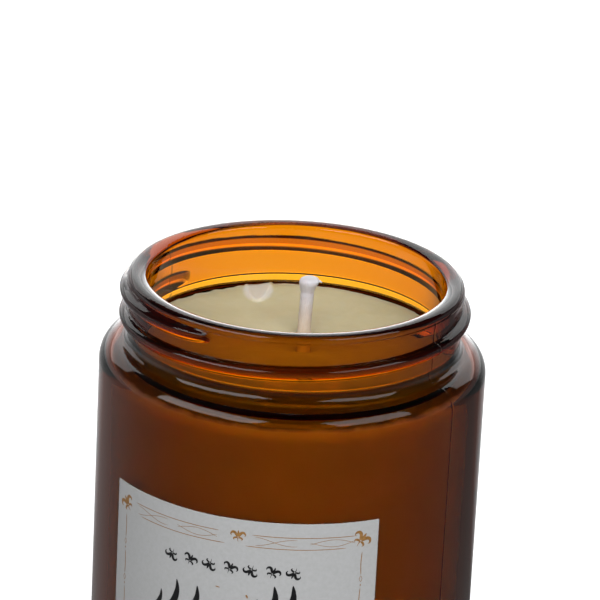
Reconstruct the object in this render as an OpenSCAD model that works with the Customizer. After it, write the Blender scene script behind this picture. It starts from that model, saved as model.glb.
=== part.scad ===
// Amber glass container candle: a straight-sided screw-neck jar, filled with wax.
// The origin is on the surface the jar stands on, at the centre of its base; +Z is up.
// The front label faces -Y. Angles round the jar start at the front and run towards +X.

/* [Jar] */
// Outer diameter of the body
body_d = 70; // [62:0.5:90]
// Height from the base to the rim
jar_h = 90; // [80:1:140]
// Wall thickness of the body
wall_t = 2.7; // [2.2:0.1:3.4]
// Thickness of the floor at its centre
floor_t = 4.5; // [3.5:0.1:6]
// Radius where the wall turns under into the base
heel_r = 5; // [3:0.5:7]
// Height of the hollow pressed up into the base
push_up = 1.5; // [0.5:0.1:2]
// Radius of the shoulder's outer curve
shoulder_r = 4; // [3:0.1:4.5]

/* [Neck] */
// Diameter of the neck wall between the threads
neck_d = 60.2; // [58:0.2:62]
// Diameter over the crest of the thread
thread_d = 63.3; // [62.6:0.1:64.5]
// Diameter of the mouth
mouth_d = 53.6; // [50:0.2:54]
// Height from the shoulder's top to the rim
neck_h = 12.7; // [12.2:0.1:16]
// Diameter of the waist under the neck wall
waist_d = 58.8; // [57.6:0.2:59.6]
// Rise of the thread in one turn
thread_pitch = 4.7; // [3.5:0.1:5]
// Length of the thread along the neck, in degrees
thread_sweep = 466; // [300:2:540]
// Angle of the thread's lower end, from the front
thread_start = -135; // [-180:1:180]
// Depth of the thread's lower end below the rim
thread_depth = 8.46; // [8:0.02:9]
// Width of the thread at its foot
thread_w = 2.9; // [2.4:0.1:3.2]

/* [Wax] */
// Depth of the wax surface below the rim
wax_depth = 11.9; // [9:0.1:15]
// Gap between the shrunk wax and the glass
wax_gap = 0.15; // [0.05:0.05:0.4]

/* [Wick] */
// Diameter of the wick inside the wax
wick_d = 2.3; // [1.6:0.1:3]
// Diameter of the wax-coated wick above the wax
wick_top_d = 2.4; // [1.7:0.1:3.2]
// Distance from the rim down to the top of the wick
wick_below_rim = 0.75; // [0.5:0.05:4]
// Lean of the free end of the wick
wick_lean = 4; // [0:0.5:4.5]
// Direction of the lean, from the front
wick_lean_dir = 90; // [0:5:360]
// Place of the wick to the right of the jar's axis
wick_x = 1.75; // [-3:0.25:3]
// Place of the wick behind the jar's axis
wick_y = 1.5; // [-3:0.25:3]
// Diameter of the sustainer and of its sticker
sustainer_d = 20; // [12:0.5:25]
// Height of the sustainer's crimped collar
collar_h = 6; // [3:0.5:10]

/* [Label] */
// Width of the label along the curve of the glass
label_w = 52.4; // [20:0.1:90]
// Height of the label
label_h = 46; // [20:0.5:48]
// Thickness of the paper
label_t = 0.1; // [0.06:0.02:0.2]
// Depth of the label's top edge below the rim
label_depth = 33; // [20:0.1:33.5]
// Angle of the label's centre, from the front
label_turn = -14.7; // [-45:0.1:45]

/* [Hidden] */
$fn = 96;

body_r = body_d / 2;
inner_r = body_r - wall_t;
neck_r = neck_d / 2;
mouth_r = mouth_d / 2;
waist_r = waist_d / 2;
thread_r = thread_d / 2;

// Rim: flat land in the middle, rounded on both sides, a mould line under the outer edge
lip_outer_r = neck_r + 0.12;
lip_round = 1.0;
lip_inner_round = 0.8;
mould_line_drop = 0.15;

// Foot of the neck: a hollow curve, taller than it is wide
neck_fillet = 1.6;
fillet_rise = 2.35;
neck_step = 0.35;
bearing_r = body_r - heel_r;
bearing_w = 4;
arc_steps = 8;

// Inside of the shoulder: a cone from the end of the bore, an arc, then a rounded corner
bore_depth = 8.75;
shoulder_t = 2.6;
shoulder_in_r = 1.4;
flare_slope = 14;
reach = inner_r - shoulder_in_r;
ceiling = neck_h + shoulder_t;
flare_share = (1 - sin(flare_slope)) / cos(flare_slope);
cone_len = (ceiling - bore_depth - (reach - mouth_r) * flare_share)
    / (cos(flare_slope) - sin(flare_slope) * flare_share);
flare_r = (reach - mouth_r - cone_len * sin(flare_slope)) / cos(flare_slope);
flare_steps = 10;
corner_r = 5;

// Wick stack, from the floor up
sticker_t = 1.0;
disc_t = 0.3;
collar_wall = 0.6;
wax_z = jar_h - wax_depth;
stack_z = floor_t + sticker_t;
wick_knee = 0.5;
wick_clear = 0.1;
tip_r = 1.7;
tip_round = 0.75;
wick_top_z = jar_h - wick_below_rim;

// Raised lobe of wax left on the surface by the pour
lobe_x = -7.2;
lobe_y = 21.3;
lobe_r = 2.2;
lobe_bead = 0.8;
lobe_leg = 3.2;

// Thread ridge
thread_rings = 80;
thread_taper = 18;
thread_root = 1.1;

function arc(r0, z0, r, a0, a1) =
    [for (i = [0:arc_steps]) let (a = a0 + (a1 - a0) * i / arc_steps)
        [r0 + r * cos(a), z0 + r * sin(a)]];

// Outline without points that fall on each other
function distinct(p) = [for (i = [0:len(p) - 1]) if (i == 0 || norm(p[i] - p[i - 1]) > 0.001) p[i]];

// Inside outline from a depth below the rim down to the floor, shrunk by a gap
function inside(from_depth, gap) = concat(
    [[mouth_r + (from_depth - bore_depth) * tan(flare_slope) - gap / cos(flare_slope), jar_h - from_depth]],
    [for (i = [0:flare_steps]) let (a = flare_slope + (90 - flare_slope) * i / flare_steps)
        [reach - (flare_r + gap) * cos(a), jar_h - ceiling + flare_r - (flare_r + gap) * sin(a)]],
    arc(reach, jar_h - ceiling - shoulder_in_r, shoulder_in_r - gap, 90, 0),
    arc(inner_r - corner_r - gap, floor_t + corner_r, corner_r, 0, -90),
    [[0, floor_t]]);

// Hollow curve at the foot of the neck, from the shoulder up to the waist
function neck_foot() =
    [for (i = [0:arc_steps]) let (a = 90 - 90 * i / arc_steps)
        [waist_r + neck_fillet * (1 - cos(a)), jar_h - neck_h + fillet_rise * (1 - sin(a))]];

function push_up_outline() =
    [for (i = [0:arc_steps]) let (t = i / arc_steps)
        [(bearing_r - bearing_w) * t, push_up * (1 - t * t)]];

function outside() = concat(
    push_up_outline(),
    arc(bearing_r, heel_r, heel_r, -90, 0),
    arc(body_r - shoulder_r, jar_h - neck_h - shoulder_r, shoulder_r, 0, 90),
    neck_foot(),
    [[neck_r, jar_h - neck_h + fillet_rise + neck_step],
     [neck_r, jar_h - lip_round - mould_line_drop],
     [lip_outer_r, jar_h - lip_round - mould_line_drop / 2]],
    arc(lip_outer_r - lip_round, jar_h - lip_round, lip_round, 0, 90),
    arc(mouth_r + lip_inner_round, jar_h - lip_inner_round, lip_inner_round, 90, 180));

// One ring of the thread's section, steeper above its crest, swollen by s to its full size
function thread_section(s) =
    let (h = thread_r - neck_r, w = thread_w, foot = neck_r - 0.25)
    [[neck_r - thread_root, -w * (0.3 + 0.3 * s)],
     [foot + h * 0.22 * s, -w * (0.2 + 0.4 * s)],
     [foot + (h * 0.62 + 0.25) * s, -w * (0.15 + 0.22 * s)],
     [foot + (h * 0.92 + 0.25) * s, -w * (0.1 + 0.1 * s)],
     [foot + (h + 0.25) * s, 0],
     [foot + (h * 0.92 + 0.25) * s, w * (0.07 + 0.1 * s)],
     [foot + (h * 0.72 + 0.25) * s, w * (0.1 + 0.18 * s)],
     [foot + h * 0.22 * s, w * (0.12 + 0.28 * s)],
     [neck_r - thread_root, w * (0.15 + 0.27 * s)]];

function thread_size(a) =
    let (t = min(1, min(a, thread_sweep - a) / thread_taper)) sin(90 * t);

// Point of the ridge at angle a along the thread, from a section point [r, z]
function thread_point(a, p) =
    let (turn = thread_start + a - 90)
    [p[0] * cos(turn), p[0] * sin(turn),
     jar_h - thread_depth + thread_pitch * a / 360 + p[1]];

module thread_ridge() {
    sides = len(thread_section(1));
    points = [for (i = [0:thread_rings]) let (a = thread_sweep * i / thread_rings)
        each [for (p = thread_section(thread_size(a))) thread_point(a, p)]];
    last = thread_rings * sides;
    faces = concat(
        [[for (j = [0:sides - 1]) sides - 1 - j]],
        [for (i = [0:thread_rings - 1], j = [0:sides - 1])
            let (a = i * sides + j, b = i * sides + (j + 1) % sides)
            [a, b, b + sides, a + sides]],
        [[for (j = [0:sides - 1]) last + j]]);
    polyhedron(points, faces);
}

// Amber glass jar with its screw neck
module glass_jar() {
    color([0.55, 0.28, 0.05, 0.45]) union() {
        rotate_extrude() polygon(distinct(concat(outside(), inside(bore_depth, 0))));
        thread_ridge();
    }
}

module wick_stack_place() {
    translate([wick_x, wick_y, stack_z]) children();
}

// Straight part of the wick, held by the wax and the collar
module wick_core() {
    wick_stack_place() cylinder(d = wick_d, h = wax_z + wick_knee - stack_z);
}

// Leaning free end of the wick, with its blunt wax-soaked tip
module wick_free_end() {
    start = wick_clear + (wick_top_d / 2) * sin(wick_lean);
    length = (wick_top_z - wax_z - start) / cos(wick_lean) - tip_r * sin(wick_lean);
    translate([wick_x, wick_y, wax_z + start])
        rotate([0, 0, wick_lean_dir - 90]) rotate([0, wick_lean, 0]) {
            cylinder(d = wick_top_d, h = length - tip_round);
            translate([0, 0, length - tip_round])
                rotate_extrude() union() {
                    translate([tip_r - tip_round, 0]) circle(r = tip_round, $fn = 32);
                    translate([0, -tip_round]) square([tip_r - tip_round, 2 * tip_round]);
                }
        }
}

// Braided cotton wick
module wick() {
    color([0.93, 0.9, 0.9]) union() {
        wick_core();
        wick_free_end();
    }
}

module sustainer_body() {
    wick_stack_place() {
        cylinder(d = sustainer_d, h = disc_t);
        cylinder(d = wick_d + 2 * collar_wall, h = collar_h);
    }
}

// Stamped tinplate tab whose collar is crimped on the wick
module wick_sustainer() {
    color("silver") difference() {
        sustainer_body();
        wick_core();
    }
}

// Double-sided foam pad that holds the tab to the floor of the jar
module wick_sticker() {
    color("white") translate([wick_x, wick_y, floor_t]) cylinder(d = sustainer_d, h = sticker_t);
}

// Bead of set wax, bent into a U that opens towards the back
module wax_lobe() {
    translate([lobe_x, lobe_y, wax_z]) {
        rotate_extrude(angle = 180, start = 180) translate([lobe_r, 0]) circle(r = lobe_bead, $fn = 24);
        for (side = [-1, 1]) translate([side * lobe_r, 0, 0]) rotate([-90, 0, 0]) {
            cylinder(r = lobe_bead, h = lobe_leg, $fn = 24);
        }
    }
}

// Candle wax, moulded round the wick, the sustainer and the sticker
module wax_fill() {
    color([0.86, 0.8, 0.66]) difference() {
        union() {
            rotate_extrude() polygon(distinct(concat([[0, wax_z]], inside(wax_depth, wax_gap))));
            wax_lobe();
        }
        wick_core();
        sustainer_body();
        wick_sticker();
    }
}

// Paper label wrapped round the front of the glass
module front_label() {
    sweep = label_w / body_r * 180 / PI;
    color([0.93, 0.93, 0.92])
        rotate_extrude(angle = sweep, start = label_turn - 90 - sweep / 2)
            translate([body_r, jar_h - label_depth - label_h]) square([label_t, label_h]);
}

glass_jar();
wax_fill();
wick();
wick_sustainer();
wick_sticker();
front_label();
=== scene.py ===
"""Amber glass container candle: the looks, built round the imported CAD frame.

Sizes are in millimetres, and MM turns them into Blender's metres. The outlines of the glass have z = 0
at the rim, and everything else has z = 0 at the base. Angles round the jar are degrees from the front
(-Y) towards +X.
"""
import math

import bmesh
import bpy
from mathutils import Matrix, Vector, noise


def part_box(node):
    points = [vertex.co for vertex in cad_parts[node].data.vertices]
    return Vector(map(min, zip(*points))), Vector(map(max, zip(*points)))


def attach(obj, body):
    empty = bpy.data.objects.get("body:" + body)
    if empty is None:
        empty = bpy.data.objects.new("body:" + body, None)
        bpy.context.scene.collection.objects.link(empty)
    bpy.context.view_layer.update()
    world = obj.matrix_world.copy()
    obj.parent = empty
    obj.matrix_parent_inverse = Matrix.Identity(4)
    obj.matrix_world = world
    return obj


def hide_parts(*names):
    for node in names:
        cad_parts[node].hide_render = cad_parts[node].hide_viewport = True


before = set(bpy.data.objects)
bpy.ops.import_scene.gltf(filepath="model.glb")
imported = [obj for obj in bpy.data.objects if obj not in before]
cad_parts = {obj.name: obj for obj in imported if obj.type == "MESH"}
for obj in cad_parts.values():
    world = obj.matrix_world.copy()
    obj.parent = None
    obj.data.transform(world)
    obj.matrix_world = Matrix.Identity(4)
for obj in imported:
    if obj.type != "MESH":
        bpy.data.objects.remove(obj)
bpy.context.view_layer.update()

MM = 0.001
TAU = 2 * math.pi

# ---------------------------------------------------------------- sizes read from the frame

jar_low, jar_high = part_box("glass_jar")
wax_low, wax_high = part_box("wax_fill")
disc_low, disc_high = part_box("wick_sustainer")
pad_low, pad_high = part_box("wick_sticker")
label_low, label_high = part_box("front_label")

RIM_Z = jar_high[2] / MM
BODY_R = (jar_high[0] - jar_low[0]) / 2 / MM
FLOOR_T = wax_low[2] / MM
PAD_R = (pad_high[0] - pad_low[0]) / 2 / MM
PAD_TOP = pad_high[2] / MM
DISC_X = (disc_low[0] + disc_high[0]) / 2 / MM
DISC_Y = (disc_low[1] + disc_high[1]) / 2 / MM
COLLAR_TOP = disc_high[2] / MM
LABEL_TOP = label_high[2] / MM
LABEL_BOTTOM = label_low[2] / MM

# ---------------------------------------------------------------- sizes of the glass

WALL_T = 2.7
HEEL_R = 5.0
PUSH_UP = 1.5
BEARING_W = 4.0
CENTRE_HOLE = 0.6
SHOULDER_R = 4.0
NECK_H = 12.7
NECK_R = 30.1
WAIST_R = 29.4
NECK_FILLET = 1.6
FILLET_RISE = 2.35
MOUTH_R = 26.8
# The lip, with a small ledge under its outer edge
LIP_R = 30.22
LIP_ROUND = 1.1
LIP_INNER_ROUND = 0.9
LIP_CROWN_R = 4.0
LIP_MIDDLE = 28.8
LIP_TAPER_TOP = 1.5
LIP_TAPER_FOOT = 3.0
# The inside, from the bore to the floor
BORE_DEPTH = 8.75
SHOULDER_T = 2.6
SHOULDER_IN_R = 1.4
FLARE_SLOPE = 14.0
CORNER_R = 5.0
INNER_R = BODY_R - WALL_T
SHOULDER_REACH = INNER_R - SHOULDER_IN_R
CEILING = NECK_H + SHOULDER_T
WALL_START = CEILING + SHOULDER_IN_R

THREAD_R = 31.65
THREAD_PITCH = 4.7
THREAD_START = -135.0
THREAD_SWEEP = 466.0
THREAD_DEPTH = 8.46
THREAD_ABOVE = 1.15
THREAD_BELOW = 1.78
THREAD_TAPER = 13.0

SEAM_ANGLES = (55.0, -125.0)
SEAM_HEIGHT = 0.05
SEAM_HALF_WIDTH = 0.45
SEAM_CLEAR = 0.7
GLASS_WAVER = 0.06
ROUND_STEPS = 264

# ---------------------------------------------------------------- sizes of the wax and the wick

WAX_DEPTH = 11.9
WAX_GAP = 0.15
WAX_LIFT = 0.04
WAX_SHRINKAGE = 2.8
WAX_STEPS_ROUND = 320
WAX_STEPS_ACROSS = 110
LOBE_X = -7.1
LOBE_TIP = 17.3
LOBE_RUN = 7.5
LOBE_HALF = 2.2
LOBE_BEAD = 0.6
LOBE_HEIGHT = 0.5
WICK_TOP = RIM_Z - 0.75
WICK_R = 1.15
WICK_TOP_R = 1.2
WICK_LEAN = 2.0
WICK_STEPS_ROUND = 48
BRAID_LENGTH = 2.6
TIP_R = 1.8
TIP_ROUND = 0.9
TIP_SHIFT = 0.3
TIP_LENGTH = 3.0
TUFT_R = 0.62
TUFT_STEPS_ROUND = 16
CLEARANCE = 0.02

# ---------------------------------------------------------------- sizes of the label

LABEL_LEFT = -57.55
LABEL_RIGHT = 28.17
LABEL_W = math.radians(LABEL_RIGHT - LABEL_LEFT) * BODY_R
LABEL_H = LABEL_TOP - LABEL_BOTTOM
LABEL_R = BODY_R + 0.02
PAPER_T = 0.05
INK_T = 0.012
GOLD_LINE = 0.13
PEN_SLANT = math.radians(24)


# ---------------------------------------------------------------- mesh helpers

def arc(r0, z0, radius, first, last, steps):
    """Points [r, z] on a circle, from one angle in degrees to another."""
    points = []
    for i in range(steps + 1):
        a = math.radians(first + (last - first) * i / steps)
        points.append((r0 + radius * math.cos(a), z0 + radius * math.sin(a)))
    return points


def line(start, end, steps):
    """Points from start up to, but not with, end."""
    return [(start[0] + (end[0] - start[0]) * i / steps, start[1] + (end[1] - start[1]) * i / steps)
            for i in range(steps)]


def round_place(radius, angle, height):
    """The point at a radius and height in mm and an angle in degrees from the front."""
    a = math.radians(angle)
    return Vector((radius * math.sin(a), -radius * math.cos(a), height)) * MM


def new_piece(name, verts, faces, material, smooth=True):
    mesh = bpy.data.meshes.new(name)
    mesh.from_pydata([tuple(v) for v in verts], [], faces)
    mesh.validate()
    bm = bmesh.new()
    bm.from_mesh(mesh)
    bmesh.ops.recalc_face_normals(bm, faces=bm.faces)
    bm.to_mesh(mesh)
    bm.free()
    for polygon in mesh.polygons:
        polygon.use_smooth = smooth
    mesh.materials.append(material)
    piece = bpy.data.objects.new(name, mesh)
    bpy.context.scene.collection.objects.link(piece)
    return piece


def ring_faces(rings, around, closed_rings=False):
    """Quads between rings of the same number of points, each ring closed."""
    faces = []
    last = rings if closed_rings else rings - 1
    for i in range(last):
        a = i * around
        b = (i + 1) % rings * around
        for j in range(around):
            k = (j + 1) % around
            faces.append((a + j, a + k, b + k, b + j))
    return faces


def fan(ring_start, around, centre):
    return [(ring_start + j, ring_start + (j + 1) % around, centre) for j in range(around)]


def smooth_step(x):
    x = min(max(x, 0.0), 1.0)
    return x * x * (3 - 2 * x)


def bell(angle, middle, width):
    """1 at one angle round the jar, falling away to either side of it."""
    return math.exp(-(((angle - middle + 180) % 360 - 180) / width) ** 2)


def smooth_path(points, step=0.25):
    """Points at even steps along a smooth curve through the given ones."""
    path = [Vector((*points[0], 0))]
    ends = [points[0]] + list(points) + [points[-1]]
    for a, b, c, d in zip(ends, ends[1:], ends[2:], ends[3:]):
        p0, p1, p2, p3 = (Vector((*p, 0)) for p in (a, b, c, d))
        count = max(2, round((p2 - p1).length / step))
        for i in range(1, count + 1):
            t = i / count
            path.append(0.5 * (2 * p1 + (p2 - p0) * t + (2 * p0 - 5 * p1 + 4 * p2 - p3) * t * t
                               + (3 * p1 - p0 - 3 * p2 + p3) * t ** 3))
    return path


def heading(path, i):
    """Direction of a path at one of its points."""
    return (path[min(i + 1, len(path) - 1)] - path[max(i - 1, 0)]).normalized()


# ---------------------------------------------------------------- shader helpers

class Shader:
    """A material and short ways to add its nodes."""

    def __init__(self, name):
        self.material = bpy.data.materials.new(name)
        self.material.use_nodes = True
        self.nodes = self.material.node_tree.nodes
        self.links = self.material.node_tree.links
        self.surface = self.nodes["Principled BSDF"]
        self.place = self.nodes.new("ShaderNodeTexCoord").outputs["Object"]

    def set(self, **values):
        for key, value in values.items():
            self.surface.inputs[key.replace("_", " ")].default_value = value

    def link(self, output, name):
        self.links.new(output, self.surface.inputs[name])

    def stretched(self, scale, turn=(0, 0, 0)):
        node = self.nodes.new("ShaderNodeMapping")
        node.inputs["Scale"].default_value = scale
        node.inputs["Rotation"].default_value = turn
        self.links.new(self.place, node.inputs["Vector"])
        return node.outputs["Vector"]

    def noise(self, scale, detail=3.0, roughness=0.5, distortion=0.0, vector=None):
        node = self.nodes.new("ShaderNodeTexNoise")
        node.inputs["Scale"].default_value = scale
        node.inputs["Detail"].default_value = detail
        node.inputs["Roughness"].default_value = roughness
        node.inputs["Distortion"].default_value = distortion
        self.links.new(vector or self.place, node.inputs["Vector"])
        return node.outputs["Fac"]

    def cells(self, scale):
        node = self.nodes.new("ShaderNodeTexVoronoi")
        node.inputs["Scale"].default_value = scale
        self.links.new(self.place, node.inputs["Vector"])
        return node.outputs["Distance"]

    def wave(self, scale, distortion, vector):
        node = self.nodes.new("ShaderNodeTexWave")
        node.inputs["Scale"].default_value = scale
        node.inputs["Distortion"].default_value = distortion
        self.links.new(vector, node.inputs["Vector"])
        return node.outputs["Fac"]

    def ramp(self, value, stops):
        node = self.nodes.new("ShaderNodeValToRGB")
        points = node.color_ramp.elements
        while len(points) < len(stops):
            points.new(0.5)
        for point, (position, colour) in zip(points, stops):
            point.position = position
            point.color = (*colour, 1)
        self.links.new(value, node.inputs["Fac"])
        return node.outputs["Color"]

    def spread(self, value, low, high, start=0.0, end=1.0):
        node = self.nodes.new("ShaderNodeMapRange")
        node.inputs["From Min"].default_value = start
        node.inputs["From Max"].default_value = end
        node.inputs["To Min"].default_value = low
        node.inputs["To Max"].default_value = high
        self.links.new(value, node.inputs["Value"])
        return node.outputs["Result"]

    def add(self, a, b):
        node = self.nodes.new("ShaderNodeMath")
        node.operation = "ADD"
        self.links.new(a, node.inputs[0])
        self.links.new(b, node.inputs[1])
        return node.outputs["Value"]

    def rise(self, start, end, wobble=0.0):
        """0 below one height in mm and 1 above another, with an uneven border."""
        axes = self.nodes.new("ShaderNodeSeparateXYZ")
        self.links.new(self.place, axes.inputs[0])
        height = axes.outputs["Z"]
        if wobble:
            ragged = self.noise(240.0, detail=4.0)
            height = self.add(height, self.spread(ragged, -wobble * MM, wobble * MM, 0.3, 0.7))
        return self.spread(height, 0.0, 1.0, start * MM, end * MM)

    def blob(self, centre, radii):
        """1 in the middle of a blob and 0 outside it, from a place and radii in mm."""
        node = self.nodes.new("ShaderNodeMapping")
        node.vector_type = "TEXTURE"
        node.inputs["Location"].default_value = [c * MM for c in centre]
        node.inputs["Scale"].default_value = [r * MM for r in radii]
        self.links.new(self.place, node.inputs["Vector"])
        ball = self.nodes.new("ShaderNodeTexGradient")
        ball.gradient_type = "SPHERICAL"
        self.links.new(node.outputs["Vector"], ball.inputs["Vector"])
        return ball.outputs["Fac"]

    def mix(self, share, low, high):
        node = self.nodes.new("ShaderNodeMix")
        node.data_type = "RGBA"
        self.links.new(share, node.inputs[0])
        self.links.new(low, node.inputs[6])
        self.links.new(high, node.inputs[7])
        return node.outputs[2]

    def bump(self, height, strength, distance):
        node = self.nodes.new("ShaderNodeBump")
        node.inputs["Strength"].default_value = strength
        node.inputs["Distance"].default_value = distance
        self.links.new(height, node.inputs["Height"])
        self.links.new(node.outputs["Normal"], self.surface.inputs["Normal"])


# ---------------------------------------------------------------- materials

GLASS_IOR = 1.52
GLASS_DENSITY = 1700.0
GLASS_PASSES = (0.871, 0.712, 0.0)


def amber_glass():
    """Amber glass, a little deeper in the thick neck than in the body."""
    shader = Shader("amber_glass")
    drift = shader.noise(28.0, detail=2.0)
    pale = shader.ramp(drift, [(0.3, (1.0, 0.95, 0.80)), (0.7, (1.0, 0.99, 0.90))])
    deep = shader.ramp(drift, [(0.3, (1.0, 0.76, 0.36)), (0.7, (1.0, 0.82, 0.44))])
    neck = shader.rise(RIM_Z - 13.0, RIM_Z - 11.0)
    shader.link(shader.mix(neck, pale, deep), "Base Color")
    smudge = shader.noise(90.0, detail=4.0, roughness=0.6)
    shader.link(shader.spread(smudge, 0.0, 0.012, 0.45, 0.8), "Roughness")
    ripple = shader.noise(160.0, detail=2.0, vector=shader.stretched((1, 1, 0.35)))
    shader.bump(ripple, 0.05, 0.0004)
    shader.set(IOR=GLASS_IOR, Transmission_Weight=1.0)
    volume = shader.nodes.new("ShaderNodeVolumeAbsorption")
    volume.inputs["Color"].default_value = (*GLASS_PASSES, 1)
    volume.inputs["Density"].default_value = GLASS_DENSITY
    shader.links.new(volume.outputs["Volume"], shader.nodes["Material Output"].inputs["Volume"])
    return shader.material


def candle_wax():
    """Wax: a cream top, a paler film on the tongue, a side painted lighter than the top, and a band of
    painted shade on the side under the shoulder.
    """
    shader = Shader("candle_wax")
    cloud = shader.noise(70.0, detail=5.0, roughness=0.55, distortion=0.6)
    top = shader.ramp(cloud, [(0.30, (0.42, 0.365, 0.215)), (0.55, (0.47, 0.415, 0.255)),
                              (0.75, (0.51, 0.455, 0.29))])
    film = shader.ramp(cloud, [(0.30, (0.50, 0.45, 0.37)), (0.75, (0.58, 0.53, 0.45))])
    tongue = shader.blob((LOBE_X, LOBE_TIP + 5.4, RIM_Z - WAX_DEPTH + 0.3), (3.4, 7.0, 3.0))
    lobe = shader.spread(tongue, 0.0, 1.0, 0.12, 0.28)
    # Painted light: the side is painted much lighter than the top, standing in for light that reaches it
    # through the glass
    side = shader.ramp(cloud, [(0.30, (0.80, 0.92, 0.34)), (0.75, (0.92, 1.0, 0.46))])
    # Painted shade: a dark copy of the side colour, laid on the band of the side under the shoulder where
    # the glass shades the wax
    dark = shader.ramp(cloud, [(0.30, (0.16, 0.18, 0.04)), (0.75, (0.21, 0.24, 0.05))])
    painted_shade_band = shader.rise(RIM_Z - WALL_START - 0.2, RIM_Z - WALL_START + 0.25, 0.16)
    upper = shader.rise(RIM_Z - WAX_DEPTH - 0.8, RIM_Z - WAX_DEPTH - 0.5)
    colour = shader.mix(upper, shader.mix(painted_shade_band, side, dark), shader.mix(lobe, top, film))
    shader.link(colour, "Base Color")
    shader.link(shader.spread(shader.noise(260.0, detail=3.0), 0.38, 0.6, 0.3, 0.7), "Roughness")
    pits = shader.add(shader.noise(420.0, detail=4.0), shader.noise(60.0, detail=2.0))
    shader.bump(pits, 0.18, 0.0003)
    shader.set(Subsurface_Weight=0.55, Subsurface_Scale=0.004, Subsurface_Radius=(1.0, 0.72, 0.45), IOR=1.44)
    return shader.material


def wick_cotton():
    """Braided cotton, soaked in wax near the foot and drier near the tip."""
    shader = Shader("wick_cotton")
    soak = shader.noise(500.0, detail=3.0)
    dry = shader.ramp(soak, [(0.3, (0.46, 0.44, 0.46)), (0.7, (0.54, 0.53, 0.56))])
    waxed = shader.ramp(soak, [(0.3, (0.45, 0.37, 0.30)), (0.7, (0.51, 0.43, 0.35))])
    shader.link(shader.mix(shader.rise(RIM_Z - 10.0, RIM_Z - 4.0), waxed, dry), "Base Color")
    shader.link(shader.spread(soak, 0.35, 0.6), "Roughness")
    shader.bump(shader.wave(900.0, 1.5, shader.stretched((1, 1, 0.6), (0.5, 0.4, 0))), 0.3, 0.00012)
    shader.set(Subsurface_Weight=0.5, Subsurface_Scale=0.0015, Subsurface_Radius=(1.0, 0.8, 0.75))
    return shader.material


def tinplate():
    shader = Shader("tinplate")
    brushed = shader.noise(700.0, detail=4.0, vector=shader.stretched((1, 12, 1)))
    shader.link(shader.ramp(brushed, [(0.3, (0.58, 0.58, 0.60)), (0.7, (0.76, 0.76, 0.77))]), "Base Color")
    shader.link(shader.spread(brushed, 0.22, 0.42), "Roughness")
    shader.bump(brushed, 0.15, 0.00005)
    shader.set(Metallic=1.0)
    return shader.material


def foam_pad():
    shader = Shader("foam_pad")
    cell = shader.cells(2600.0)
    shader.link(shader.ramp(cell, [(0.1, (0.72, 0.72, 0.70)), (0.6, (0.90, 0.90, 0.88))]), "Base Color")
    shader.link(shader.spread(cell, 0.7, 0.95), "Roughness")
    shader.bump(cell, 0.5, 0.0001)
    return shader.material


def label_paper():
    shader = Shader("label_paper")
    pulp = shader.noise(1400.0, detail=5.0, roughness=0.65)
    shader.link(shader.ramp(pulp, [(0.35, (0.385, 0.39, 0.39)), (0.65, (0.42, 0.425, 0.43))]), "Base Color")
    shader.link(shader.spread(pulp, 0.42, 0.6, 0.35, 0.65), "Roughness")
    shader.bump(shader.add(pulp, shader.noise(90.0, detail=2.0)), 0.12, 0.00004)
    return shader.material


def printed_ink(name, dark, light, grain=1800.0):
    shader = Shader(name)
    speckle = shader.noise(grain, detail=4.0, roughness=0.7)
    shader.link(shader.ramp(speckle, [(0.35, dark), (0.65, light)]), "Base Color")
    shader.link(shader.spread(speckle, 0.35, 0.55), "Roughness")
    shader.bump(speckle, 0.1, 0.00002)
    return shader.material


# ---------------------------------------------------------------- glass jar

def flare(gap, depth=BORE_DEPTH):
    """Inside of the shoulder from a depth below the rim to the wall, as [r, z], shrunk by a gap."""
    slope = math.radians(FLARE_SLOPE)
    across = SHOULDER_REACH - MOUTH_R
    down = CEILING - BORE_DEPTH
    share = (1 - math.sin(slope)) / math.cos(slope)
    cone = (down - across * share) / (math.cos(slope) - math.sin(slope) * share)
    radius = (across - cone * math.sin(slope)) / math.cos(slope)
    cone_end = BORE_DEPTH + cone * math.cos(slope) + gap * math.sin(slope)
    depths = [depth + (cone_end - depth) * i / 16 for i in range(17)]
    points = [(MOUTH_R + (d - BORE_DEPTH) * math.tan(slope) - gap / math.cos(slope), -d) for d in depths]
    turns = [slope + (math.pi / 2 - slope) * i / 16 for i in range(1, 17)]
    points += [(SHOULDER_REACH - (radius + gap) * math.cos(t),
                radius - CEILING - (radius + gap) * math.sin(t)) for t in turns]
    return points + arc(SHOULDER_REACH, -WALL_START, SHOULDER_IN_R - gap, 82, 0, 8)


def lip_outline():
    """The rim from its outer edge to its inner edge: a crown between two rounded edges."""
    outer = (LIP_R - LIP_ROUND, LIP_CROWN_R - LIP_ROUND)
    inner = (MOUTH_R + LIP_INNER_ROUND, LIP_CROWN_R - LIP_INNER_ROUND)
    turn_out = math.degrees(math.asin((outer[0] - LIP_MIDDLE) / outer[1]))
    turn_in = math.degrees(math.asin((LIP_MIDDLE - inner[0]) / inner[1]))
    outer_z = -LIP_CROWN_R + outer[1] * math.cos(math.radians(turn_out))
    inner_z = -LIP_CROWN_R + inner[1] * math.cos(math.radians(turn_in))
    points = arc(outer[0], outer_z, LIP_ROUND, 0, 90 - turn_out, 12)
    points += arc(LIP_MIDDLE, -LIP_CROWN_R, LIP_CROWN_R, 90 - turn_out * 0.85, 90 + turn_in * 0.85, 8)
    return points + arc(inner[0], inner_z, LIP_INNER_ROUND, 90 + turn_in, 180, 12)


def neck_foot():
    """The elliptical fillet from the shoulder up to the neck, and the small step above it."""
    turns = [math.radians(90 - 90 * i / 12) for i in range(13)]
    points = [(WAIST_R + NECK_FILLET * (1 - math.cos(t)), -NECK_H + FILLET_RISE * (1 - math.sin(t)))
              for t in turns]
    top = -NECK_H + FILLET_RISE
    return points + [(WAIST_R + 0.1, top + 0.08), (NECK_R - 0.1, top + 0.24), (NECK_R, top + 0.34)]


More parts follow.
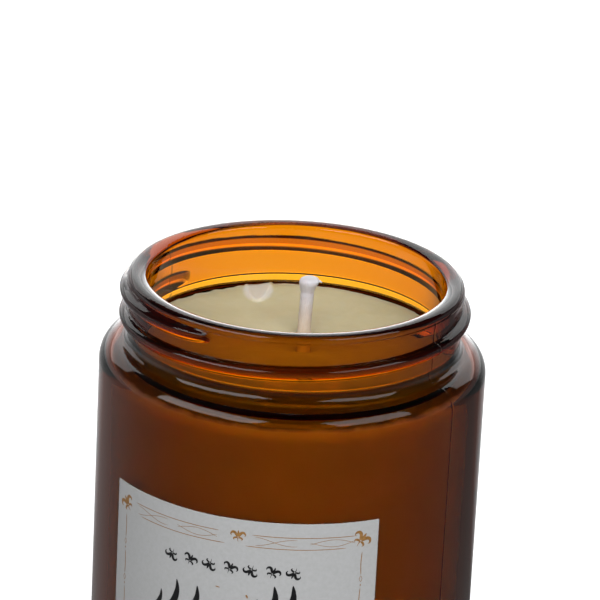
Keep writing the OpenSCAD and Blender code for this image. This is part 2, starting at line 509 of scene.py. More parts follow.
def jar_outside():
    bearing_r = BODY_R - HEEL_R
    ring_r = bearing_r - BEARING_W
    base = -RIM_Z
    wall_top = -NECK_H - SHOULDER_R
    neck_low = -NECK_H + FILLET_RISE + 0.44
    outline = [(CENTRE_HOLE + (ring_r - CENTRE_HOLE) * i / 10, base + PUSH_UP * (1 - (i / 10) ** 2))
               for i in range(11)]
    outline += line((ring_r + 1, base), (bearing_r, base), 4)
    outline += arc(bearing_r, base + HEEL_R, HEEL_R, -90, 0, 14)
    outline += line((BODY_R, base + HEEL_R + 1), (BODY_R, wall_top - 0.3), 30)
    outline += arc(BODY_R - SHOULDER_R, wall_top, SHOULDER_R, 0, 88, 22)
    outline += neck_foot()
    outline += line((NECK_R, neck_low), (NECK_R, -LIP_TAPER_FOOT - 0.2), 88)
    outline += line((NECK_R + 0.02, -LIP_TAPER_FOOT), (NECK_R + 0.24, -LIP_TAPER_TOP), 8)
    outline += [(NECK_R + 0.26, -1.40), (NECK_R + 0.25, -1.35), (LIP_R, -1.33), (LIP_R - 0.01, -1.28)]
    return outline + lip_outline()


def jar_inside():
    outline = line((MOUTH_R, -LIP_INNER_ROUND - 0.3), (MOUTH_R, -BORE_DEPTH + 0.3), 18)
    outline += flare(0.0)
    corner_z = -RIM_Z + FLOOR_T + CORNER_R
    outline += line((INNER_R, -WALL_START - 1), (INNER_R, corner_z + 0.5), 30)
    outline += arc(INNER_R - CORNER_R, corner_z, CORNER_R, 0, -90, 12)
    floor_z = -RIM_Z + FLOOR_T
    return outline + line((INNER_R - CORNER_R - 1.5, floor_z), (CENTRE_HOLE, floor_z), 8)


def thread_ridge(angle, z):
    """How far the thread stands out of the neck wall at an angle and a height."""
    height = 0.0
    for turn in (-360, 0, 360):
        along = angle + turn - THREAD_START
        if not 0 < along < THREAD_SWEEP:
            continue
        near_end = min(1.0, min(along, THREAD_SWEEP - along) / THREAD_TAPER)
        swell = math.sqrt(1 - (1 - near_end) ** 2)
        centre = -THREAD_DEPTH + THREAD_PITCH * along / 360
        above = z > centre
        reach = (THREAD_ABOVE if above else THREAD_BELOW) * (0.35 + 0.65 * swell)
        across = abs(z - centre) / reach
        if across < 1:
            rounding = 0.55 if above else 1.25
            height = max(height, (THREAD_R - NECK_R) * swell * (1 - across ** 2.2) ** rounding)
    return height


def seam_ridge(angle):
    """The fine line that the two halves of the mould leave."""
    height = 0.0
    for seam in SEAM_ANGLES:
        off = abs((angle - seam + 180) % 360 - 180)
        height += SEAM_HEIGHT * max(0.0, 1 - off / SEAM_HALF_WIDTH)
    return height


def jar_angles():
    """Even steps round the jar, with finer ones across the mould seams."""
    angles = [360 * i / ROUND_STEPS - 180 for i in range(ROUND_STEPS)]
    for seam in SEAM_ANGLES:
        angles = [a for a in angles if abs(a - seam) > SEAM_CLEAR]
        for off in (0.2, SEAM_HALF_WIDTH, SEAM_CLEAR):
            angles += [seam - off, seam + off]
        angles.append(seam)
    return sorted(angles)


def glass_waver(angle, z):
    """The slight unevenness of moulded glass."""
    a = math.radians(angle)
    return GLASS_WAVER * noise.noise(Vector((2.2 * math.cos(a), 2.2 * math.sin(a), z * 0.09)))


def outside_relief(angle, r, z):
    """How far the outside stands off its outline: the thread, and the mould lines."""
    if not (r > WAIST_R - 0.5 and -RIM_Z + HEEL_R < z < -LIP_ROUND):
        return 0.0
    thread = thread_ridge(angle, z) if z > -NECK_H + FILLET_RISE + 0.3 else 0.0
    return thread + seam_ridge(angle) - SEAM_HEIGHT


def inside_relief(angle, z):
    return glass_waver(angle, z) if -BORE_DEPTH - 30 < z < -2 else 0.0


def make_jar():
    outside = jar_outside()
    inside = jar_inside()
    angles = jar_angles()
    verts = []
    for r, z in outside:
        verts += [round_place(r + outside_relief(a, r, z), a, RIM_Z + z) for a in angles]
    for r, z in inside:
        verts += [round_place(r + inside_relief(a, z), a, RIM_Z + z) for a in angles]
    rings = len(outside) + len(inside)
    around = len(angles)
    faces = ring_faces(rings, around)
    verts.append(Vector((0, 0, PUSH_UP)) * MM)
    faces += fan(0, around, len(verts) - 1)
    verts.append(Vector((0, 0, FLOOR_T)) * MM)
    faces += fan((rings - 1) * around, around, len(verts) - 1)
    jar = new_piece("jar_glass", verts, faces, amber_glass())
    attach(jar, "root")
    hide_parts("glass_jar")


# ---------------------------------------------------------------- wax

WAX_ANGLES = [360 * i / WAX_STEPS_ROUND - 180 for i in range(WAX_STEPS_ROUND)]
WAX_FLOOR = FLOOR_T + WAX_LIFT


def lobe_height(x, y):
    """The raised tongue of wax near the back left of the surface, thicker along its border."""
    run = min(1.0, max(0.0, (y - LOBE_TIP) / LOBE_RUN))
    ragged = noise.noise(Vector((x * 0.9, y * 0.9, 2.2))) * 0.25
    off = abs(x - LOBE_X) - LOBE_HALF * math.sqrt(run) + ragged
    bead = math.exp(-(off / LOBE_BEAD) ** 2)
    inside = 0.6 * smooth_step(-off / 0.5)
    return LOBE_HEIGHT * max(bead, inside) * smooth_step((y - LOBE_TIP + 0.6) / 0.8)


def wax_surface(x, y, edge):
    """Height of the wax above its nominal level; edge is 0 in the middle and 1 at the glass."""
    sway = noise.fractal(Vector((x * 0.07, y * 0.07, 3.1)), 1.0, 2.0, 3) * 0.10
    fine = noise.fractal(Vector((x * 0.5, y * 0.5, 7.7)), 1.0, 2.0, 3) * 0.015
    wick_gap = math.hypot(x - DISC_X, y - DISC_Y)
    climb = 0.15 * math.exp(-((wick_gap - WICK_TOP_R) / 1.2) ** 2) if wick_gap < 6 else 0.0
    rim = -0.25 * smooth_step((edge - 0.93) / 0.07)
    return sway + fine + climb + rim + lobe_height(x, y)


def torn_edge(angle):
    """How far the wax is torn back from the glass at its top edge."""
    a = math.radians(angle)
    jag = noise.fractal(Vector((math.cos(a) * 9, math.sin(a) * 9, 1.3)), 1.0, 2.0, 4)
    flakes = 0.5 + noise.noise(Vector((angle * 0.23, 4.4, 0.0)))
    pulled = 0.6 * bell(angle, 145, 25) + 1.4 * flakes * bell(angle, -140, 22)
    shrunk = WAX_SHRINKAGE * smooth_step((85 - abs(angle)) / 30)
    return 0.35 * abs(jag) + 0.05 + pulled + shrunk


def wax_top_ring(share, edge_r):
    """Points across the surface, from the wick at share 0 to the torn edge at share 1."""
    ring = []
    for angle in WAX_ANGLES:
        a = math.radians(angle)
        reach = edge_r - torn_edge(angle)
        near = (DISC_X + WICK_R * math.sin(a), DISC_Y - WICK_R * math.cos(a))
        x = near[0] + (reach * math.sin(a) - near[0]) * share
        y = near[1] + (-reach * math.cos(a) - near[1]) * share
        ring.append(Vector((x, y, RIM_Z - WAX_DEPTH + wax_surface(x, y, share))) * MM)
    return ring


def wax_ring(r, z, torn=0.0, towards_wick=0.0):
    """Points round the wax, about a centre between the jar's axis and the wick's."""
    centre = Vector((DISC_X, DISC_Y, 0)) * towards_wick * MM
    return [centre + round_place(r - torn * torn_edge(angle), angle, z) for angle in WAX_ANGLES]


def wax_side_rings(side):
    """From the torn edge down the shoulder and the wall, and round the lower corner."""
    rings = []
    for r, z in side:
        fall = (-z - WAX_DEPTH) / (WALL_START - WAX_DEPTH)
        rings.append(wax_ring(r, RIM_Z + z, torn=1 - min(1.0, fall) ** 4))
    wall_r = INNER_R - WAX_GAP
    wall_top = RIM_Z - WALL_START
    corner_z = FLOOR_T + CORNER_R
    rings += [wax_ring(wall_r, wall_top + (corner_z - wall_top) * i / 30) for i in range(1, 30)]
    corner = arc(wall_r - CORNER_R, corner_z, CORNER_R, 0, -90, 10)
    return rings + [wax_ring(r, max(z, WAX_FLOOR)) for r, z in corner]


def wax_inner_rings():
    """Across the floor to the foam pad, over the tab and its collar, and up the wick."""
    floor_r = INNER_R - WAX_GAP - CORNER_R
    rings = [wax_ring(floor_r + (PAD_R - floor_r) * share, WAX_FLOOR, towards_wick=share)
             for share in (0.25, 0.5, 0.75)]
    over_tab = PAD_TOP + 0.32
    collar_r = WICK_R + 0.75
    bore = [(PAD_R + CLEARANCE, WAX_FLOOR), (PAD_R + CLEARANCE, over_tab), (WICK_R + 1.4, over_tab),
            (collar_r, PAD_TOP + 0.9), (collar_r, COLLAR_TOP), (WICK_R + CLEARANCE, COLLAR_TOP + 0.1)]
    rise = RIM_Z - WAX_DEPTH - COLLAR_TOP
    bore += [(WICK_R + CLEARANCE, COLLAR_TOP + rise * i / 12) for i in range(1, 12)]
    return rings + [wax_ring(r, z, towards_wick=1.0) for r, z in bore]


def make_wax():
    edge, *side = flare(WAX_GAP, WAX_DEPTH)
    shares = [(i / (WAX_STEPS_ACROSS - 1)) ** 0.85 for i in range(WAX_STEPS_ACROSS)]
    rings = [wax_top_ring(share, edge[0]) for share in shares]
    rings += wax_side_rings(side) + wax_inner_rings()
    verts = [vert for ring in rings for vert in ring]
    faces = ring_faces(len(rings), len(WAX_ANGLES), closed_rings=True)
    wax = new_piece("wax", verts, faces, candle_wax())
    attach(wax, "root")
    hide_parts("wax_fill")


# ---------------------------------------------------------------- wick and its tab

def wick_path(z):
    """Centre of the wick at a height: upright in the wax, leaning to the right above it."""
    lean = max(0.0, z - (RIM_Z - WAX_DEPTH)) * math.tan(math.radians(WICK_LEAN))
    lean += TIP_SHIFT * max(0.0, 1 - (WICK_TOP - z) / TIP_LENGTH) ** 2
    return (DISC_X + lean, DISC_Y)


def wick_radius(z):
    """Radius of the wick at a height, swelling into the blunt tip."""
    from_top = WICK_TOP - z
    surface = RIM_Z - WAX_DEPTH
    base = WICK_R if z < surface else WICK_TOP_R + 0.25 * math.exp(-(z - surface) / 0.7)
    swell = base + (TIP_R - base) * smooth_step((TIP_LENGTH - from_top) / 2.2)
    if from_top > TIP_ROUND:
        return swell
    return swell * math.sqrt(max(0.0, 1 - ((TIP_ROUND - from_top) / (TIP_ROUND + 0.01)) ** 3))


def wick_heights():
    """Heights of the rings: in the wax, above it, and round the tip."""
    bottom = PAD_TOP + CLEARANCE
    surface = RIM_Z - WAX_DEPTH
    heights = [bottom + (surface - bottom) * i / 90 for i in range(90)]
    heights += [surface + (WICK_TOP - TIP_ROUND - surface) * i / 60 for i in range(61)]
    return heights + [WICK_TOP - TIP_ROUND * (1 - math.sin(math.radians(90 * i / 12))) for i in range(1, 13)]


def wick_ring(z):
    """Points round the wick at a height, with the braid, and with lumps of wax above the surface."""
    cx, cy = wick_path(z)
    ring = []
    for j in range(WICK_STEPS_ROUND):
        a = TAU * j / WICK_STEPS_ROUND
        braid = math.sin(4 * a + z * BRAID_LENGTH) * math.sin(4 * a - z * BRAID_LENGTH)
        lump = noise.noise(Vector((math.cos(a) * 1.2, math.sin(a) * 1.2, z * 0.9)))
        lumpy = 0.05 * lump if z > RIM_Z - WAX_DEPTH else 0.0
        out = wick_radius(z) * (1 + 0.018 * braid + lumpy)
        ring.append(Vector((cx + out * math.sin(a), cy - out * math.cos(a), z)) * MM)
    return ring


def make_wick(material):
    heights = wick_heights()
    verts = [vert for z in heights for vert in wick_ring(z)]
    faces = ring_faces(len(heights), WICK_STEPS_ROUND)
    for ring, z in ((0, heights[0]), (len(heights) - 1, WICK_TOP)):
        verts.append(Vector((*wick_path(z), z)) * MM)
        faces += fan(ring * WICK_STEPS_ROUND, WICK_STEPS_ROUND, len(verts) - 1)
    wick = new_piece("wick_braid", verts, faces, material)
    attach(wick, "root")
    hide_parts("wick")


def make_fray(material):
    """A loose tuft that stands off the cut end of the wick."""
    cx, cy = wick_path(WICK_TOP - 1.0)
    path = smooth_path(((0.2, -1.1), (1.2, -0.85), (1.9, -0.75), (2.35, -1.0)), 0.12)
    last = len(path) - 1
    verts = []
    for i, point in enumerate(path):
        radius = TUFT_R * (1 - 0.85 * (i / last) ** 1.3)
        ahead = heading(path, i)
        for j in range(TUFT_STEPS_ROUND):
            a = TAU * j / TUFT_STEPS_ROUND
            out = radius * math.cos(a)
            verts.append(Vector((cx + point.x - ahead.y * out, cy - radius * math.sin(a),
                                 WICK_TOP + point.y + ahead.x * out)) * MM)
    faces = ring_faces(len(path), TUFT_STEPS_ROUND)
    for ring in (0, last):
        verts.append(Vector((cx + path[ring].x, cy, WICK_TOP + path[ring].y)) * MM)
        faces += fan(ring * TUFT_STEPS_ROUND, TUFT_STEPS_ROUND, len(verts) - 1)
    tuft = new_piece("wick_tuft", verts, faces, material)
    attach(tuft, "root")


def lathe_piece(name, outline, centre, material, around=96):
    """A closed ring of revolution from a closed outline of [r, z] in mm, z from the base."""
    verts = []
    for r, z in outline:
        for j in range(around):
            verts.append(Vector((*centre, 0)) * MM + round_place(r, 360 * j / around, z))
    return new_piece(name, verts, ring_faces(len(outline), around, closed_rings=True), material)


def make_sustainer():
    """The tinplate tab: a disc with a pressed ring, and a collar crimped round the wick."""
    z0 = PAD_TOP + 0.01
    bore = WICK_R + 0.01
    wall = bore + 0.6
    outline = [(bore, z0), (PAD_R - 0.15, z0), (PAD_R - 0.02, z0 + 0.12), (PAD_R - 0.15, z0 + 0.26)]
    outline += [(7.4, z0 + 0.26), (7.2, z0 + 0.2), (6.8, z0 + 0.2), (6.6, z0 + 0.26)]
    outline += [(wall + 0.6, z0 + 0.27), (wall + 0.12, z0 + 0.5), (wall, z0 + 0.9)]
    outline += [(wall, COLLAR_TOP - 2.6), (wall - 0.12, COLLAR_TOP - 2.0), (wall - 0.12, COLLAR_TOP - 1.2)]
    outline += [(wall, COLLAR_TOP - 0.7), (wall, COLLAR_TOP - 0.1), (bore + 0.1, COLLAR_TOP - 0.02)]
    outline += [(bore, COLLAR_TOP - 0.15)]
    tab = lathe_piece("wick_tab", outline, (DISC_X, DISC_Y), tinplate())
    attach(tab, "root")
    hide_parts("wick_sustainer")


def make_sticker():
    low = FLOOR_T + CLEARANCE
    outline = [(0.3, low), (PAD_R - 0.1, low), (PAD_R, low + 0.15), (PAD_R - 0.06, low + 0.5),
               (PAD_R, PAD_TOP - 0.15), (PAD_R - 0.1, PAD_TOP), (0.3, PAD_TOP)]
    pad = lathe_piece("foam_sticker", outline, (DISC_X, DISC_Y), foam_pad())
    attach(pad, "root")
    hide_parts("wick_sticker")


# ---------------------------------------------------------------- label

def on_label(u, v, lift):
    """The point u mm from the label's left edge and v mm below its top, lift mm off the glass."""
    angle = LABEL_LEFT + math.degrees(u / BODY_R)
    return round_place(LABEL_R + lift, angle, LABEL_TOP - v)


def paper_place(u, v, lift):
    """A point of the sheet, whose upper edge is slightly torn, most of all left of the middle."""
    if v == 0:
        torn = math.exp(-((u - 20) / 5) ** 4)
        v = (0.03 + 0.22 * torn) * abs(noise.noise(Vector((u * (1.7 + 3 * torn), 0.3, 0.0))))
    return on_label(u, v, lift)


def make_paper():
    columns = 240
    rows = 60
    row = columns + 1
    sheet = row * (rows + 1)
    verts = [paper_place(LABEL_W * i / columns, LABEL_H * j / rows, lift)
             for lift in (PAPER_T, 0.0) for j in range(rows + 1) for i in range(row)]
    faces = []
    for a in (j * row + i for j in range(rows) for i in range(columns)):
        faces.append((a, a + 1, a + row + 1, a + row))
        faces.append((sheet + a, sheet + a + row, sheet + a + row + 1, sheet + a + 1))
    edge = list(range(row))
    edge += [j * row + columns for j in range(1, rows + 1)]
    edge += [rows * row + i for i in range(columns - 1, -1, -1)]
    edge += [j * row for j in range(rows - 1, 0, -1)]
    for k, a in enumerate(edge):
        b = edge[(k + 1) % len(edge)]
        faces.append((a, sheet + a, sheet + b, b))
    paper = new_piece("label_sheet", verts, faces, label_paper(), smooth=False)
    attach(paper, "root")
    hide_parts("front_label")


# ---------------------------------------------------------------- print on the label

def placed(points, u, v, size, turn=0.0, flip=1):
    """Points of a motif, sized, turned and moved to a place on the label."""
    c = math.cos(turn)
    s = math.sin(turn)
    moved = []
    for x, y in points:
        x = flip * x * size
        y = y * size
        moved.append((u + x * c - y * s, v + x * s + y * c))
    return moved


class Print:
    """Strokes of one ink, gathered into one thin mesh."""

    def __init__(self):
        self.verts = []
        self.faces = []
        self.count = 0

    def stroke(self, path, width):
        """A slab of ink along a path; width gives its breadth from the share run and the direction."""
        first = len(self.verts)
        rise = PAPER_T + INK_T + 0.001 * (self.count % 6)
        self.count += 1
        for i, point in enumerate(path):
            ahead = heading(path, i)
            side = Vector((-ahead.y, ahead.x, 0)) * max(0.02, width(i / (len(path) - 1), ahead) / 2)
            for lift in (rise, PAPER_T - 0.005):
                for edge in (point + side, point - side):
                    self.verts.append(on_label(edge.x, edge.y, lift))
        for i in range(len(path) - 1):
            a = first + 4 * i
            self.faces += [(a, a + 4, a + 5, a + 1), (a + 2, a + 3, a + 7, a + 6),
                           (a, a + 2, a + 6, a + 4), (a + 1, a + 5, a + 7, a + 3)]
        last = first + 4 * (len(path) - 1)
        self.faces += [(first, first + 1, first + 3, first + 2), (last, last + 2, last + 3, last + 1)]

    def line(self, points, breadth=GOLD_LINE):
        """A fine line, thinner towards its ends."""
        self.stroke(smooth_path(points, 0.8), lambda t, ahead: breadth * min(1, 0.35 + 8 * t * (1 - t)))

    def petal(self, points, breadth):
        """A leaf: broadest near its foot and pointed at both ends."""
        path = smooth_path(points, 0.12)
        self.stroke(path, lambda t, ahead: breadth * math.sin(math.pi * t ** 0.8) ** 0.8)

    def pen(self, points, bold, fine):
        """A flourish of a broad nib: bold on the downstroke and fine across it."""
        down = Vector((-math.sin(PEN_SLANT), math.cos(PEN_SLANT), 0))

        def width(t, ahead):
            ends = min(1, 0.2 + 12 * t * (1 - t))
            return (fine + (bold - fine) * abs(ahead.dot(down)) ** 2.2) * ends
        self.stroke(smooth_path(points, 0.16), width)

    def finish(self, name, material):
        piece = new_piece(name, self.verts, self.faces, material, smooth=False)
        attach(piece, "root")


# Motifs about their own middle, with the second number counted downwards
LEAF = [(0.0, 0.05), (0.05, -0.55), (0.0, -1.2)]
SIDE_LEAF = [(0.12, 0.12), (0.50, -0.62), (0.98, -0.80), (1.32, -0.42), (1.18, -0.08)]
LOW_LEAF = [(0.08, 0.28), (0.42, 0.22), (0.78, 0.42), (0.66, 0.72)]
STEM = [(0.0, 0.2), (-0.04, 0.6), (0.06, 1.05)]
FROND = [(0.0, 0.0), (0.13, -0.35), (0.10, -0.72), (-0.04, -1.0)]
# The branch, by places on the label: its stem, and leaves as place, length in mm and turn in degrees
BRANCH = [(8.6, 21.6), (12.0, 20.2), (16.5, 20.4), (22.0, 21.6),
          (28.0, 20.6), (34.0, 19.6), (39.5, 20.6), (44.6, 19.4)]
UPPER_LEAVES = ((10.6, 20.8, 4.4, 28), (13.6, 20.2, 6.6, 22), (17.2, 20.6, 7.0, 26),
                (21.4, 21.5, 5.6, 24), (25.2, 21.2, 5.4, 22), (28.6, 20.5, 6.2, 26),
                (31.2, 20.0, 8.4, 22), (34.2, 19.6, 8.4, 24), (37.6, 20.2, 6.0, 26), (41.2, 20.2, 4.6, 34))
LOWER_LEAVES = ((12.6, 20.3, 4.0, 142), (16.4, 20.4, 4.4, 150), (20.4, 21.2, 4.0, 146),
                (24.4, 21.3, 4.2, 142), (28.8, 20.5, 4.6, 150), (32.6, 19.8, 4.6, 146),
                (36.4, 20.0, 4.2, 142), (40.0, 20.5, 3.6, 136))
FLOURISH = [(7.3, 27.2), (13.0, 26.2), (20.0, 27.0), (30.0, 27.8), (38.0, 27.0), (45.0, 25.8)]
SPRIG_TURN = 0.42


def branch(ink):
    """The large leafy branch across the middle of the label."""
    ink.stroke(smooth_path(BRANCH, 0.3), lambda t, ahead: 0.16 + 0.5 * t * (1 - t))
    for leaves, flip in ((UPPER_LEAVES, 1), (LOWER_LEAVES, -1)):
        for u, v, length, turn in leaves:
            ink.petal(placed(FROND, u, v, length, math.radians(turn), flip), 0.16 + 0.165 * length)


def sprig(ink, u, v, size, turn):
    """A small ornament: an upright leaf on a stem, between two pairs of curled ones."""
    ink.petal(placed(LEAF, u, v, size, turn), 0.42 * size)
    ink.stroke(smooth_path(placed(STEM, u, v, size, turn), 0.2), lambda t, ahead: 0.2 * size * (1.1 - t))
    for flip in (1, -1):
        ink.petal(placed(SIDE_LEAF, u, v, size, turn, flip), 0.50 * size)
        ink.petal(placed(LOW_LEAF, u, v, size, turn, flip), 0.34 * size)


def sprig_row(ink, count, u, v, pitch, drop):
    """A row of leaning sprigs, every other one upside down."""
    for i in range(count):
        turn = SPRIG_TURN if i % 2 else math.pi + SPRIG_TURN
        sprig(ink, u + pitch * i, v + drop * (i % 2), 1.0, turn)


def ribbon(ink, start, end, low, high):
    """Two fine strands that wind about each other between two lines of the frame, broken in the middle."""
    middle = (low + high) / 2
    swing = (high - low) * 0.36
    for sign in (1, -1):
        points = []
        for i in range(25):
            share = i / 24
            wave = math.cos(2.6 * math.pi * share) * (1 - 0.25 * math.sin(math.pi * share))
            points.append((start + (end - start) * share, middle + sign * swing * wave))
        ink.line(points[:11], 0.08)
        ink.line(points[13:], 0.08)


def side_border(ink, u, lean):
    """The broken upright line of the frame, with small lens-shaped crossings."""
    v = 5.9
    while v < LABEL_H - 8:
        ink.line([(u, v), (u + lean * 0.12, v + 2.2), (u, v + 4.4)], 0.15)
        for sign in (1, -1):
            ink.line([(u, v + 4.6), (u + sign * 0.28, v + 5.2), (u, v + 5.8)], 0.09)
        ink.petal([(u, v + 6.2), (u, v + 6.6)], 0.22)
        v += 7.0


def border_row(ink, v, flip):
    """The upper or lower row of the frame, mirrored for the lower one."""
    for start, end, far_start, far_end in ((5.6, 23.7, 7.0, 24.8), (29.7, 48.3, 28.6, 46.4)):
        middle = (start + end) / 2
        ink.line([(start, v - 1.1 * flip), (middle, v - 1.05 * flip), (end, v - 1.1 * flip)])
        ink.line([(far_start, v + 1.1 * flip), (middle, v + 1.2 * flip), (far_end, v + 1.1 * flip)])
        ribbon(ink, start + 0.6, end - 0.3, v - 1.1, v + 1.1)
    upright = 0 if flip > 0 else math.pi
    sprig(ink, 27.2, v - 0.5 * flip, 1.0, upright)
    sprig(ink, 3.0, v + 0.05 * flip, 1.28, upright - flip * 0.65)
    sprig(ink, 49.1, v - 0.15 * flip, 1.28, upright + flip * 0.65)


def make_gold_print():
    """The frame of the label, and a few flecks in it."""
    ink = Print()
    border_row(ink, 3.75, 1)
    border_row(ink, LABEL_H - 3.75, -1)
    side_border(ink, 2.75, 1)
    side_border(ink, 49.4, -1)
    for start, end, breadth in (((23.5, 13.45), (24.3, 13.55), 0.22), ((29.1, 14.2), (29.4, 14.9), 0.35),
                                ((29.5, 15.3), (29.2, 15.8), 0.28)):
        ink.petal([start, end], breadth)
    ink.finish("label_gold_print", printed_ink("gold_ink", (0.20, 0.095, 0.025), (0.32, 0.17, 0.055)))


def make_black_print():
    """Two rows of sprigs, with the leafy branch and a flourish between them."""
    ink = Print()
    sprig_row(ink, 7, 14.6, 9.4, 3.8, 0.2)
    branch(ink)
    ink.pen(FLOURISH, 0.7, 0.25)
    sprig_row(ink, 5, 17.2, 32.4, 4.6, 0.0)
    ink.finish("label_black_print", printed_ink("black_ink", (0.006, 0.006, 0.007), (0.012, 0.012, 0.013)))


make_jar()
make_wax()
cotton = wick_cotton()
make_wick(cotton)
make_fray(cotton)
make_sustainer()
make_sticker()
make_paper()
make_gold_print()
make_black_print()

# ---------------------------------------------------------------- floor, light and camera

# Brightness of the surroundings by the angle in degrees from straight behind the jar, where a card stands
BACKDROP = [(-180, 0.02), (-120, 0.04), (-75, 0.13), (-42, 0.13), (-30, 0.24), (-18, 0.42), (-12, 1.0),
            (12, 1.0), (18, 0.38), (30, 0.20), (42, 0.05), (75, 0.08), (120, 0.04), (180, 0.02)]
FLOOR_LEVEL = 1.95
PANEL_LEVEL = 4.0
PANEL_FADE = (0.08, 0.42)
PANEL_LEAST = 0.06
PALE = 0.97
PALE_TINT = (0.985, 0.99, 1.0, 1)
FLOOR_GLOW = 0.62
FLOOR_HALF = 4.0
FLOOR_DROP = 0.00005


def backdrop_level(nodes, links, place, most):
    """Brightness round the jar and height above it as shader values, from a direction or a place."""
    axes = nodes.new("ShaderNodeSeparateXYZ")
    links.new(place, axes.inputs[0])
    turn = nodes.new("ShaderNodeMath")
    turn.operation = "ARCTAN2"
    links.new(axes.outputs["X"], turn.inputs[0])
    links.new(axes.outputs["Y"], turn.inputs[1])
    share = nodes.new("ShaderNodeMapRange")
    share.inputs["From Min"].default_value = -math.pi
    share.inputs["From Max"].default_value = math.pi
    links.new(turn.outputs[0], share.inputs["Value"])
    ramp = nodes.new("ShaderNodeValToRGB")
    stops = ramp.color_ramp.elements
    while len(stops) < len(BACKDROP):
        stops.new(0.5)
    for stop, (angle, level) in zip(stops, BACKDROP):
        stop.position = 0.5 + angle / 360
        stop.color = (level, level, level, 1)
    links.new(share.outputs["Result"], ramp.inputs["Fac"])
    scale = nodes.new("ShaderNodeMath")
    scale.operation = "MULTIPLY"
    scale.inputs[1].default_value = most
    links.new(ramp.outputs["Color"], scale.inputs[0])
    return scale.outputs[0], axes.outputs["Z"]


def floor_material():
    """A pale floor to the eye, which lights the glass by the backdrop's pattern."""
    material = bpy.data.materials.new("studio_floor")
    material.use_nodes = True
    nodes = material.node_tree.nodes
    links = material.node_tree.links
    nodes.remove(nodes["Principled BSDF"])
    diffuse = nodes.new("ShaderNodeBsdfDiffuse")
    diffuse.inputs["Color"].default_value = (0.8, 0.8, 0.81, 1)
    pale = nodes.new("ShaderNodeEmission")
    pale.inputs["Color"].default_value = PALE_TINT
    pale.inputs["Strength"].default_value = FLOOR_GLOW
    seen = nodes.new("ShaderNodeAddShader")
    links.new(diffuse.outputs[0], seen.inputs[0])
    links.new(pale.outputs[0], seen.inputs[1])
    lit = nodes.new("ShaderNodeEmission")
    place = nodes.new("ShaderNodeNewGeometry").outputs["Position"]
    level, _ = backdrop_level(nodes, links, place, FLOOR_LEVEL)
    links.new(level, lit.inputs["Strength"])
    choose = nodes.new("ShaderNodeMixShader")
    links.new(nodes.new("ShaderNodeLightPath").outputs["Is Camera Ray"], choose.inputs[0])
    links.new(lit.outputs[0], choose.inputs[1])
    links.new(seen.outputs[0], choose.inputs[2])
    links.new(choose.outputs[0], nodes["Material Output"].inputs["Surface"])
    return material


def make_floor():
    h = FLOOR_HALF
    corners = [(x, y, -FLOOR_DROP) for x, y in ((-h, -h), (h, -h), (h, h), (-h, h))]
    floor = new_piece("floor", corners, [(0, 1, 2, 3)], floor_material())


def make_world():
    """A pale surround to the eye, which lights the glass by the backdrop and fades upwards."""
    world = bpy.data.worlds.new("studio")
    world.use_nodes = True
    bpy.context.scene.world = world
    nodes = world.node_tree.nodes
    links = world.node_tree.links
    direction = nodes.new("ShaderNodeTexCoord").outputs["Generated"]
    level, height = backdrop_level(nodes, links, direction, PANEL_LEVEL)
    fade = nodes.new("ShaderNodeMapRange")
    fade.interpolation_type = "SMOOTHSTEP"
    fade.inputs["From Min"].default_value = PANEL_FADE[0]
    fade.inputs["From Max"].default_value = PANEL_FADE[1]
    fade.inputs["To Min"].default_value = 1.0
    fade.inputs["To Max"].default_value = PANEL_LEAST
    links.new(height, fade.inputs["Value"])
    product = nodes.new("ShaderNodeMath")
    product.operation = "MULTIPLY"
    links.new(level, product.inputs[0])
    links.new(fade.outputs["Result"], product.inputs[1])
    choose = nodes.new("ShaderNodeMix")
    choose.data_type = "FLOAT"
    links.new(nodes.new("ShaderNodeLightPath").outputs["Is Camera Ray"], choose.inputs[0])
    links.new(product.outputs[0], choose.inputs[2])
    choose.inputs[3].default_value = PALE
    background = nodes["Background"]
    background.inputs["Color"].default_value = PALE_TINT
    links.new(choose.outputs[0], background.inputs["Strength"])


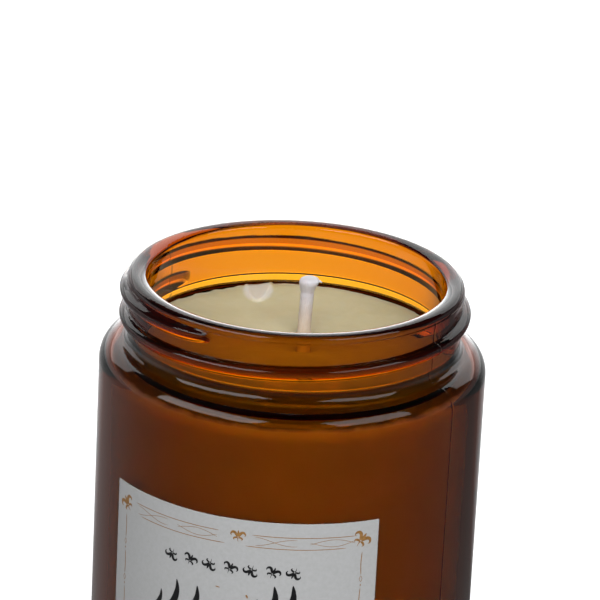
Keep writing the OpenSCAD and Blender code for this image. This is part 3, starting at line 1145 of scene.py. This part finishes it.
def soft_box(name, angle, elevation, distance, width, height, radiance, mirrored=True, passing=True):
    """A lamp aimed at the neck. Mirrored ones show in the glass, and passing ones light through it."""
    a = math.radians(angle)
    e = math.radians(elevation)
    aim = Vector((0, 0, RIM_Z * 0.8 * MM))
    away = Vector((math.sin(a) * math.cos(e), -math.cos(a) * math.cos(e), math.sin(e)))
    light = bpy.data.lights.new(name, "AREA")
    light.shape = "RECTANGLE"
    light.size = width
    light.size_y = height
    light.energy = radiance * math.pi * width * height
    box = bpy.data.objects.new(name, light)
    box.location = aim + away * distance
    box.rotation_euler = away.to_track_quat("Z", "Y").to_euler()
    box.visible_camera = False
    box.visible_glossy = mirrored
    box.visible_transmission = passing
    bpy.context.scene.collection.objects.link(box)


# Place from the middle of the rim, in mm; turns in degrees
CAMERA_PLACE = (0.80, -646.91, 242.86)
CAMERA_PITCH = 20.941
CAMERA_ROLL = 2.895
CAMERA_LENS = 231.44


def make_camera():
    pitch = math.radians(CAMERA_PITCH)
    roll = math.radians(CAMERA_ROLL)
    ahead = Vector((0, math.cos(pitch), -math.sin(pitch)))
    right = Vector((1, 0, 0))
    up = right.cross(ahead)
    right_rolled = right * math.cos(roll) + up * math.sin(roll)
    up_rolled = up * math.cos(roll) - right * math.sin(roll)
    turn = Matrix((right_rolled, up_rolled, -ahead)).transposed()
    data = bpy.data.cameras.new("camera")
    data.lens = CAMERA_LENS
    data.sensor_width = 36.0
    data.clip_start = 0.01
    camera = bpy.data.objects.new("camera", data)
    place = (Vector(CAMERA_PLACE) + Vector((0, 0, RIM_Z))) * MM
    camera.matrix_world = Matrix.Translation(place) @ turn.to_4x4()
    bpy.context.scene.collection.objects.link(camera)
    bpy.context.scene.camera = camera


make_floor()
make_world()
soft_box("soft_box_left", -56, 42, 1.0, 1.1, 0.42, 2.6)
soft_box("soft_box_right", 55, 42, 1.0, 0.8, 0.42, 1.8)
soft_box("fill_front", 8, 40, 1.2, 1.2, 1.0, 5.6, mirrored=False)
soft_box("fill_top", 180, 80, 1.0, 0.9, 0.9, 0.2, mirrored=False)
soft_box("strip_behind", 180, 30, 1.3, 2.4, 0.55, 1.0, passing=False)
make_camera()
bpy.context.scene.view_settings.view_transform = "Standard"
